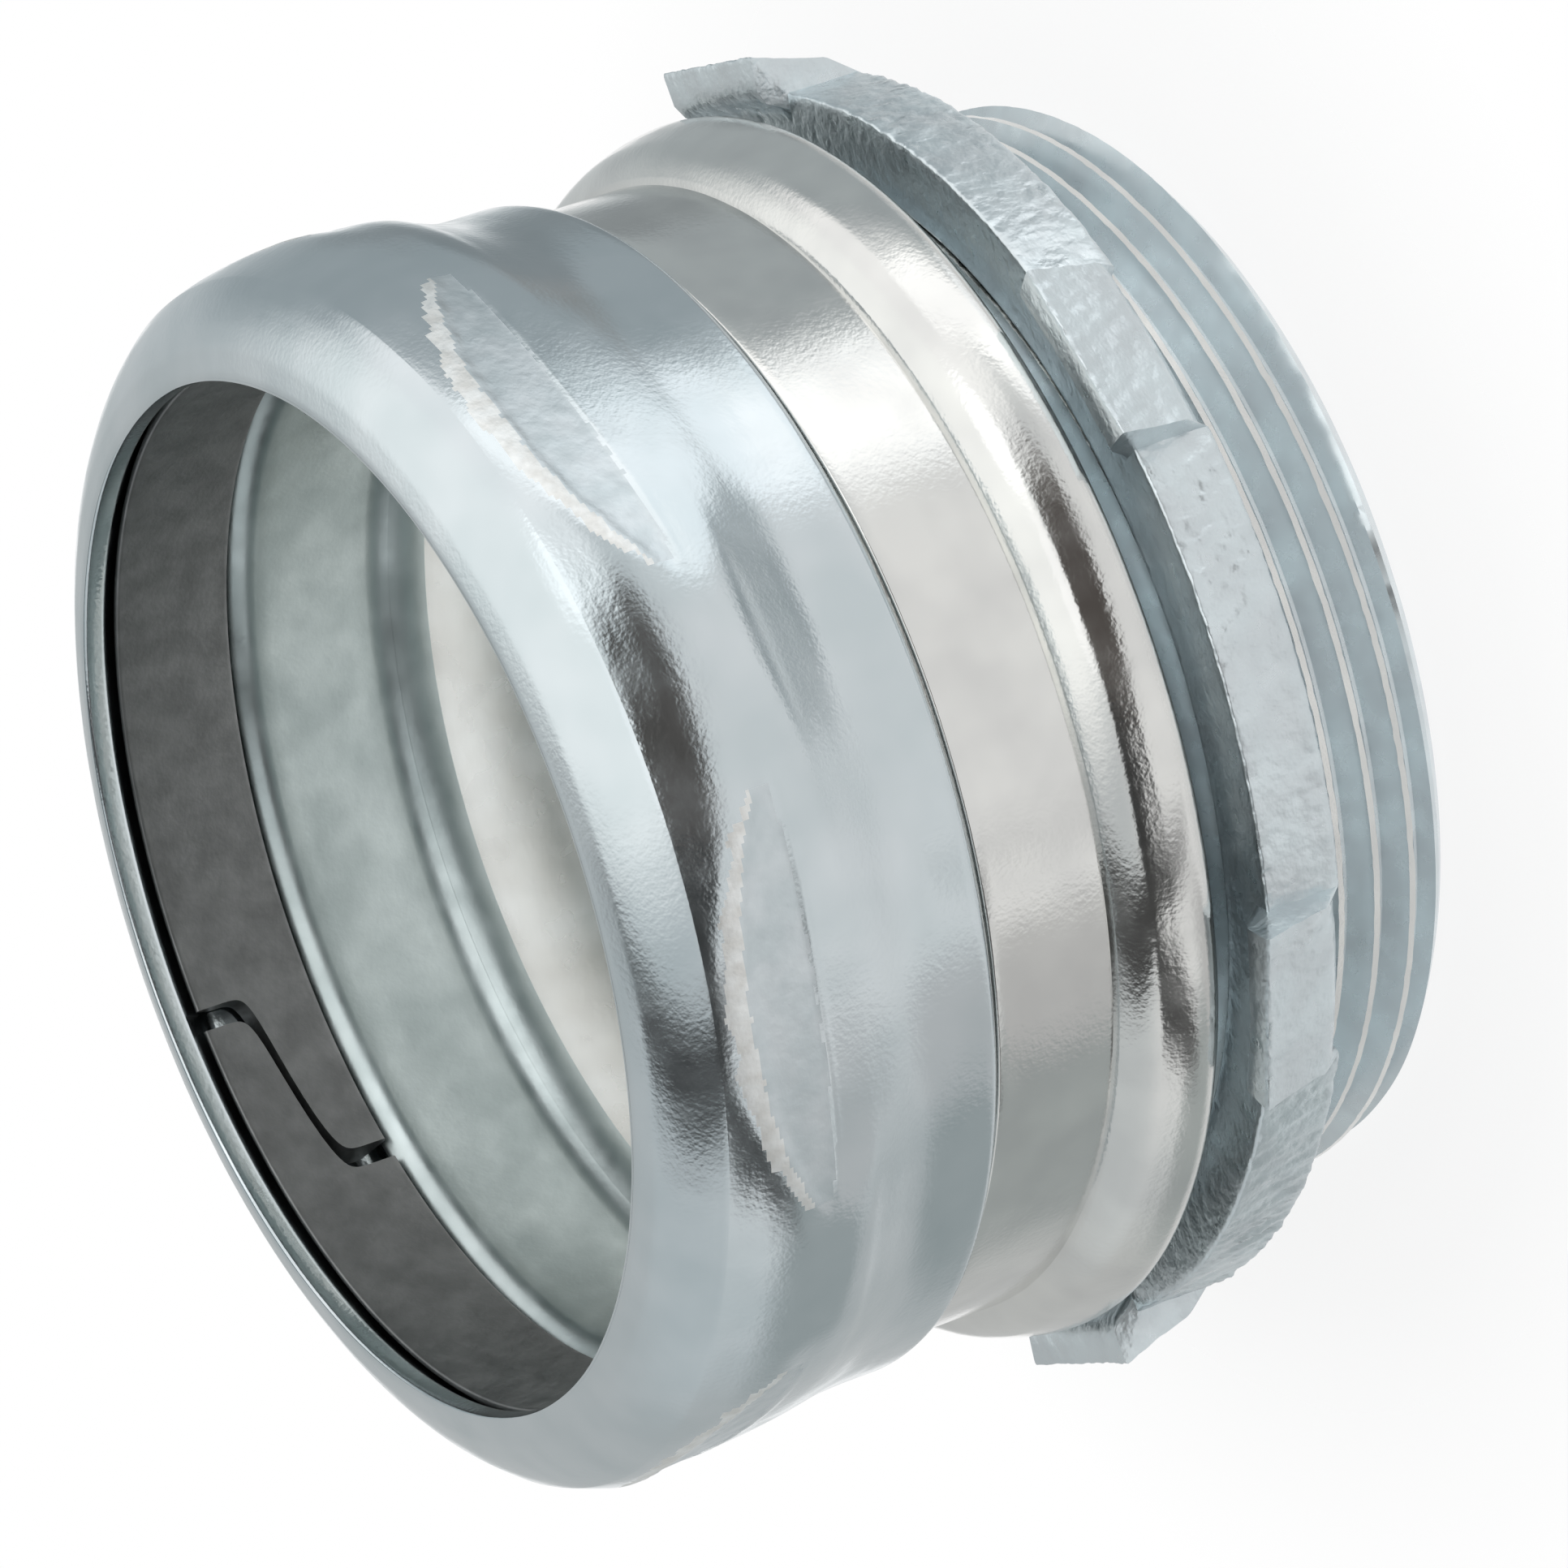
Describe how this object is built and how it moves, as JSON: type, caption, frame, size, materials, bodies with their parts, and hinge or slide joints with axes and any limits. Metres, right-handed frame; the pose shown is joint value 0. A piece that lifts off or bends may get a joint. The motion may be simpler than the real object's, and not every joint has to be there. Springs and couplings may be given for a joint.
{
  "type": "compression conduit connector",
  "caption": "Compression connector that grips a plain round conduit by a split ring under a gland nut, and fastens to a box by a threaded end and a locknut.",
  "frame": {"origin": "centre of the threaded end, in the plane of its end face", "axes": "+Z runs along the conduit's axis, from the threaded end towards the gland nut's lip; X and Y are across, with a lug of the locknut 2.5 degrees from +X"},
  "size_m": [0.073, 0.0692, 0.0494],
  "materials": {
    "plated_body": "zinc plated, satin, with a faint grain",
    "plated_nut": "zinc plated, satin, bluish",
    "plated_ring": "dull dark zinc plate",
    "plated_locknut": "zinc plated, coarse, bluish"
  },
  "bodies": {
    "connector": {"connector_body": "plated_body"},
    "ring": {"compression_ring": "plated_ring"},
    "nut": {"gland_nut": "plated_nut"},
    "locking_nut": {"locknut": "plated_locknut"}
  },
  "joints": [
    {"name": "nut_travel", "type": "slide", "parent": "connector", "child": "ring", "axis": [0, 0, 1], "range_m": [-0.0003, 0.0105]},
    {"name": "nut_turn", "type": "hinge", "parent": "ring", "child": "nut", "pos_m": [0, 0, 0.04], "axis": [0, 0, 1], "range_deg": [-68, 2381]},
    {"name": "locknut_travel", "type": "slide", "parent": "connector", "child": "locking_nut", "axis": [0, 0, 1], "range_m": [-0.0136, 0.0021]}
  ],
  "couplings": [
    {"joint": "nut_travel", "follows": "nut_turn", "m_per_rad": 0.00025266}
  ]
}
